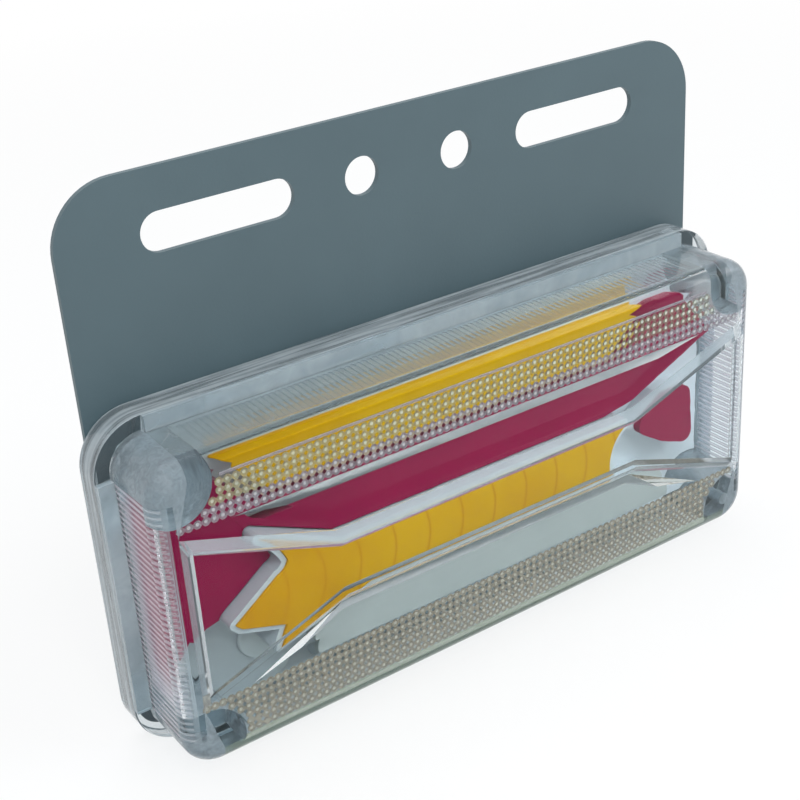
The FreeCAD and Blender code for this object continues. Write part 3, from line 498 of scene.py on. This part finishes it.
def painted_reflection_mask(tree):
    """1 where the crimson cover lies behind the left end wall, with soft ends, and 0 elsewhere: where its
    painted reflection goes.
    """
    place = place_along(tree)
    bottom = lamp_middle + COVER_BOTTOM
    up = add_node(tree, "ShaderNodeMapRange",
                  {"Value": place["Z"], "From Min": bottom, "From Max": bottom + COVER_FADE})
    front = add_node(tree, "ShaderNodeMapRange",
                     {"Value": place["Y"], "From Min": COVER_BACK,
                      "From Max": COVER_BACK - COVER_FADE / 2})
    both = add_node(tree, "ShaderNodeMath", {0: up.outputs["Result"], 1: front.outputs["Result"]},
                    operation="MULTIPLY")
    return both.outputs[0]


def haze_with_painted_reflection(tree):
    """Share of haze of the left end wall: the crests carry more of it before the cover, for its painted
    reflection.
    """
    crest = add_node(tree, "ShaderNodeMapRange",
                     {"Value": painted_reflection_mask(tree), "To Min": CREST_HAZE, "To Max": PAINTED_REFLECTION_HAZE})
    return frosted_grooves(tree, crest=crest.outputs["Result"])


def tone_with_painted_reflection(tree):
    """Tone of that haze: a painted crimson reflection on the crests before the cover, pale everywhere
    else.
    """
    crest = add_node(tree, "ShaderNodeMath", {0: 1.0, 1: groove(tree)}, operation="SUBTRACT")
    red = add_node(tree, "ShaderNodeMath", {0: crest.outputs[0], 1: painted_reflection_mask(tree)},
                   operation="MULTIPLY")
    return blend_colours(tree, red.outputs[0], *PAINTED_REFLECTION_TONES)


def clearer_to_the_right(tree, left=0.55, right=0.28):
    """Share of haze that falls from the lamp's left end to a little right of its middle."""
    share = add_node(tree, "ShaderNodeMapRange",
                     {"Value": place_along(tree)["X"], "From Min": lens_low.x * LEFT_SHARE,
                      "From Max": lens_high.x * RIGHT_SHARE, "To Min": left, "To Max": right})
    return share.outputs["Result"]


def on_upper_slope(lean, depth, height):
    """Whether a place is on the upper facet's upper slope or in the bow-tie's hollow."""
    in_hollow = depth < BOW_RISE + FACE_WALL
    on_facet = height > FACET_HEIGHT and abs(lean) < SLOPE_LEAN
    return depth < CREST_DEPTH and abs(height) < EDGE_HEIGHT and (in_hollow or on_facet)


def part_of_lens(face):
    """The part of the moulding that a face belongs to, found by its place and its normal."""
    x, y, z = face.center
    depth = y - lens_low.y
    height = z - lamp_middle
    to_post = math.hypot(abs(x) - post_x, abs(height) - post_z)
    endwards = abs(face.normal.x)
    forwards = abs(face.normal.y)
    sloping = SLOPE_FROM < forwards < SLOPE_TO
    if depth > TAB_DEPTH:
        return "weld_flange"
    if to_post < POST_RADIUS and y > lens_face:
        return "posts"
    if y > lens_inside + WALL_START and forwards < TURNED:
        if endwards < abs(face.normal.z):
            return "long_walls"
        return "right_wall" if x > 0 else "left_wall"
    if endwards > TURNED and abs(x) > END_ROUNDING and y > lens_face:
        return "end_roundings"
    if endwards > TURNED and y < lens_face:
        return "slopes"
    if height < -EDGE_HEIGHT and depth > BOW_RISE + FLATNESS:
        return "lower_edge" if face.normal.z < 0 else "lower_flutes"
    if sloping and (y < lens_face or on_upper_slope(face.normal.x, depth, height)):
        return "slopes"
    if sloping and y > lens_inside and depth < CREST_DEPTH and -FACET_HEIGHT < height < 0:
        return "lower_slopes"
    return "face"


rounding_haze = functools.partial(frosted_grooves, crest=0.03, bottom=0.32)
lens_plastics = {
    "face": clear_plastic("clear_acrylic_lens", 0.0, 0.02),
    "right_wall": clear_plastic("clear_acrylic_side_walls", frosted_grooves, 0.03,
                                cloud=("#dad2da", "#e8e8ee"), ior=SIDE_WALL_IOR),
    "long_walls": clear_plastic("clear_acrylic_long_walls", clearer_to_the_right, 0.05,
                                cloud=("#7f8b8f", "#939fa3")),
    "posts": clear_plastic("clear_acrylic_posts", 0.6, 0.08, mark_mm=2.5, mark_depth_mm=0.4,
                           cloud=("#738088", "#a9b4ba")),
    "slopes": clear_plastic("satin_acrylic_slopes", 0.35, 0.15),
    "weld_flange": clear_plastic("clear_acrylic_weld_flange", draw_lines, 0.05,
                                 cloud=("#a4b0b6", "#c6d0d5")),
    "lower_edge": clear_plastic("clear_acrylic_lower_edge", 0.35, 0.05,
                                cloud=("#84957f", "#98a892")),
    "lower_flutes": clear_plastic("clear_acrylic_lower_flutes", 0.5, 0.05,
                                  cloud=("#93a086", "#a8b39a")),
    "end_roundings": clear_plastic("clear_acrylic_end_roundings", rounding_haze, 0.05,
                                   cloud=("#d6dae0", "#e8ecf0")),
    # Painted reflection: the left end wall's crests are hazed crimson where the cover lies behind them.
    "left_wall": clear_plastic("clear_acrylic_left_wall_painted_reflection", haze_with_painted_reflection, 0.03,
                               cloud=tone_with_painted_reflection, ior=SIDE_WALL_IOR),
    "lower_slopes": clear_plastic("satin_acrylic_lower_slopes", 0.7, 0.15),
}
lens = welded_copy("lens_cover", "lens_cover_clear")
clothe_parts(lens, lens_plastics, part_of_lens)


# 8. Beads and rib: low domes in rows above and below the bow-tie, moulded in one with the inside
#    of the lens face, and a thin rib along the upper field. Each bead's crown is a near-white dot,
#    a painted highlight, and its skirt shows the colour behind it through its clear part and in
#    the tan and grey tints of its haze.

BEAD_PITCH = 1.78 * MM
BEAD_RADIUS = 0.94 * MM         # to a corner of its outline; its flats almost touch the next bead
BEAD_RISE = 0.22 * MM
BEAD_RINGS = (1.0, 0.88, 0.7, 0.55, 0.42)   # radii of its rings, as shares of the bead's own
BEAD_ROOT = 0.1 * MM            # sunk into the wall
BEAD_SIDES = 8
BEAD_OVERHANG = 0.35 * MM       # a bead may stand this far over the edge of the flat stretch
BEAD_FIRST_ROW = 20.1 * MM      # up and down from the lamp's middle
UPPER_ROWS = 5
LOWER_ROWS = 6
CLOUDED_ROWS = 2                # the upper rows nearest the middle are cloudier

RIB_HEIGHT = 28.6 * MM
RIB_LENGTH = 124.0 * MM
RIB_WIDTH = 0.5 * MM


def is_flat(x, z, reach):
    """Whether the inside of the lens face is flat at a place and all round it, as far as the reach."""
    offsets = [(0.0, 0.0)]
    for turn in range(8):
        angle = turn * math.pi / 4
        offsets.append((reach * math.cos(angle), reach * math.sin(angle)))
    for across, up in offsets:
        start = Vector((x + across, lens_inside + MM, z + up))
        hit, where, normal, face = lens.ray_cast(start, Vector((0, -1, 0)))
        if not hit or abs(where.y - lens_inside) > FLATNESS:
            return False
    return True


def make_bead():
    """One bead: a low dome on a short root."""
    bpy.ops.object.select_all(action="DESELECT")
    bpy.ops.mesh.primitive_circle_add(
        vertices=BEAD_SIDES, radius=BEAD_RADIUS, fill_type="NGON",
        rotation=(math.pi / 2, math.pi / BEAD_SIDES, 0), location=(0, lens_inside - BEAD_ROOT, 0))
    bead = bpy.context.object
    bpy.ops.object.transform_apply(location=True, rotation=True, scale=True)
    bpy.ops.object.mode_set(mode="EDIT")
    bpy.ops.mesh.select_all(action="SELECT")
    bpy.ops.mesh.extrude_region_move(TRANSFORM_OT_translate={"value": (0, BEAD_ROOT, 0)})
    for outer, inner in zip(BEAD_RINGS, BEAD_RINGS[1:]):
        rise = BEAD_RISE * (outer ** 2 - inner ** 2)
        bpy.ops.mesh.extrude_region_move(TRANSFORM_OT_translate={"value": (0, rise, 0)})
        bpy.ops.transform.resize(value=(inner / outer, 1.0, inner / outer))
    bpy.ops.mesh.select_all(action="SELECT")
    bpy.ops.mesh.normals_make_consistent(inside=False)
    bpy.ops.object.mode_set(mode="OBJECT")
    bpy.ops.object.shade_smooth_by_angle(angle=math.radians(50))
    return bead


bead = make_bead()
columns = int((lens_high.x - lens_low.x) / BEAD_PITCH / 2)
copies = []
for side, rows in ((-1, LOWER_ROWS), (1, UPPER_ROWS)):
    for row in range(rows):
        z = lamp_middle + side * (BEAD_FIRST_ROW + row * BEAD_PITCH)
        for column in range(-columns, columns + 1):
            x = column * BEAD_PITCH
            if is_flat(x, z, BEAD_RADIUS - BEAD_OVERHANG):
                copy = bpy.data.objects.new("bead", bead.data.copy())
                copy.location = (x, 0, z)
                bpy.context.scene.collection.objects.link(copy)
                copies.append(copy)
bpy.data.objects.remove(bead)

bpy.ops.mesh.primitive_cube_add(size=1.0, location=(0, lens_inside, lamp_middle + RIB_HEIGHT))
rib = bpy.context.object
rib.scale = (RIB_LENGTH, 2 * BEAD_RISE, RIB_WIDTH)

bpy.ops.object.select_all(action="DESELECT")
for piece in copies + [rib]:
    piece.select_set(True)
bpy.context.view_layer.objects.active = copies[0]
bpy.ops.object.join()
beads = bpy.context.object
beads.name = "lens_beads"
bpy.ops.object.transform_apply(location=True, rotation=True, scale=True)

crown = lens_inside + BEAD_RISE * (1 - BEAD_RINGS[-1] ** 2) - FLATNESS
clouded = lamp_middle + BEAD_FIRST_ROW + (CLOUDED_ROWS - 0.5) * BEAD_PITCH
on_rib = lamp_middle + RIB_HEIGHT - RIB_WIDTH


def part_of_beads(face):
    """Crowns, which carry a painted highlight, are one part, and below them the rows differ by where they
    are.
    """
    x, y, z = face.center
    if y > crown and z < on_rib:
        return "crowns"
    if z < lamp_middle:
        return "lower_rows"
    return "cloudy_rows_and_rib" if z < clouded or z > on_rib else "upper_rows"


bead_haze = functools.partial(clearer_to_the_right, left=0.45, right=0.18)
bead_plastics = {
    "upper_rows": clear_plastic("clear_acrylic_upper_beads", bead_haze, 0.05,
                                cloud=("#a89f7c", "#bcb28c")),
    "lower_rows": clear_plastic("clear_acrylic_lower_beads", 0.5, 0.05,
                                cloud=("#9a8f7c", "#afa38e")),
    # Painted highlight: each crown is hazed near white, a bright dot at the bead's middle.
    "crowns": clear_plastic("bead_crowns_painted_highlight", 0.9, 0.1, cloud=("#f6f4ea", "#fdfcf6")),
    "cloudy_rows_and_rib": clear_plastic("cloudy_acrylic_beads", 0.42, 0.05,
                                         cloud=("#9d9298", "#b3a8ae")),
}
clothe_parts(beads, bead_plastics, part_of_beads)
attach(beads, "root")


# 9. Fasteners and gland: zinc-plated steel screws, bright with a fine grain, driven from the back
#    into the lens posts, and a gland of matt black EPDM rubber that holds itself in the back wall.

zinc = plain_material("zinc_plated_steel", "#b4b8bb", "#c6cacd", 0.6, 0.28, metallic=1.0)
clothe(nodes["corner_screws"], zinc)
clothe(nodes["cable_gland"], plain_material("black_epdm", "#1b1c1d", "#242526", 0.8, 0.6))


# 10. Studio: a pale sweep of paper that fades into a white wall, three soft lamps from above, and
#     the camera. What the camera sees past the object, straight or by glass, is white.

CAMERA_LENS_MM = 66.83
CAMERA_PLACE = (-0.16454, -0.24053, 0.09046)    # in metres, as are the other places of this section
CAMERA_RIGHT = (0.81517, -0.57579, -0.06302)
CAMERA_UP = (0.30258, 0.33053, 0.89398)

WHITE = (1, 1, 1, 1)
FLOOR_WHITE = "#f4f4f4"
FLOOR_SIZE = 6.0
FLOOR_GAP = 0.2 * MM            # under the lamp's lowest point
FLOOR_GLOW = 0.75               # share of white near the lamp; the rest takes its shadow
SWEEP_START = 0.2               # from the lamp to where the paper begins to fade into the white wall
SWEEP_END = 0.7
ROOM_TINT = "#dfe6ea"
ROOM_STRENGTH = 0.55
SOFTBOX_SIZE = 0.6
SOFTBOX_AIM = Vector((0, 0, -0.05))


def seen_by_camera(tree):
    """1 for what the camera sees, straight, in a mirror or through glass, and 0 for the lighting."""
    path = add_node(tree, "ShaderNodeLightPath").outputs
    seen = add_node(tree, "ShaderNodeMath", {0: path["Is Camera Ray"], 1: path["Is Glossy Ray"]},
                    operation="MAXIMUM")
    seen = add_node(tree, "ShaderNodeMath", {0: seen.outputs[0], 1: path["Is Transmission Ray"]},
                    operation="MAXIMUM")
    return seen.outputs[0]


def softbox(name, place, power):
    """Square lamp that faces the object's middle."""
    data = bpy.data.lights.new(name, "AREA")
    data.size = SOFTBOX_SIZE
    data.energy = power
    lamp = bpy.data.objects.new(name, data)
    lamp.location = place
    lamp.rotation_euler = (SOFTBOX_AIM - Vector(place)).to_track_quat("-Z", "Y").to_euler()
    bpy.context.scene.collection.objects.link(lamp)


camera_data = bpy.data.cameras.new("camera")
camera_data.lens = CAMERA_LENS_MM
camera = bpy.data.objects.new("camera", camera_data)
bpy.context.scene.collection.objects.link(camera)
right = Vector(CAMERA_RIGHT)
up = Vector(CAMERA_UP)
turned = Matrix((right, up, right.cross(up))).transposed().to_4x4()
camera.matrix_world = Matrix.Translation(CAMERA_PLACE) @ turned
bpy.context.scene.camera = camera

floor_paint, tree, surface = new_material("white_paper_sweep")
paper = add_node(tree, "ShaderNodeBsdfDiffuse", {"Color": linear(FLOOR_WHITE)})
glow = add_node(tree, "ShaderNodeEmission", {"Color": WHITE, "Strength": 1.0})
place = add_node(tree, "ShaderNodeTexCoord").outputs["Object"]
away = add_node(tree, "ShaderNodeVectorMath", {0: place}, operation="LENGTH")
fade = add_node(tree, "ShaderNodeMapRange",
                {"Value": away.outputs["Value"], "From Min": SWEEP_START, "From Max": SWEEP_END,
                 "To Min": FLOOR_GLOW, "To Max": 1.0})
share = add_node(tree, "ShaderNodeMath", {0: seen_by_camera(tree), 1: fade.outputs["Result"]},
                 operation="MULTIPLY")
mixed = add_node(tree, "ShaderNodeMixShader",
                 {0: share.outputs[0], 1: paper.outputs["BSDF"], 2: glow.outputs["Emission"]})
tree.links.new(mixed.outputs["Shader"], surface)
bpy.ops.mesh.primitive_plane_add(size=FLOOR_SIZE, location=(0, 0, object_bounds()[0][2] - FLOOR_GAP))
floor = bpy.context.object
floor.name = "paper_floor"
clothe(floor, floor_paint)

world = bpy.data.worlds.new("studio_walls")
bpy.context.scene.world = world
world.use_nodes = True
tree = world.node_tree
tree.nodes.clear()
room = add_node(tree, "ShaderNodeBackground", {"Color": linear(ROOM_TINT), "Strength": ROOM_STRENGTH})
bright = add_node(tree, "ShaderNodeBackground", {"Color": WHITE, "Strength": 1.0})
mixed = add_node(tree, "ShaderNodeMixShader",
                 {0: seen_by_camera(tree), 1: room.outputs["Background"],
                  2: bright.outputs["Background"]})
add_node(tree, "ShaderNodeOutputWorld", {"Surface": mixed.outputs["Shader"]})

softbox("key_softbox", (-0.35, -0.7, 0.9), 6.0)
softbox("fill_softbox", (0.8, -0.6, 0.6), 5.0)
softbox("top_softbox", (0.0, 0.3, 1.0), 4.0)

bpy.context.scene.view_settings.view_transform = "Standard"
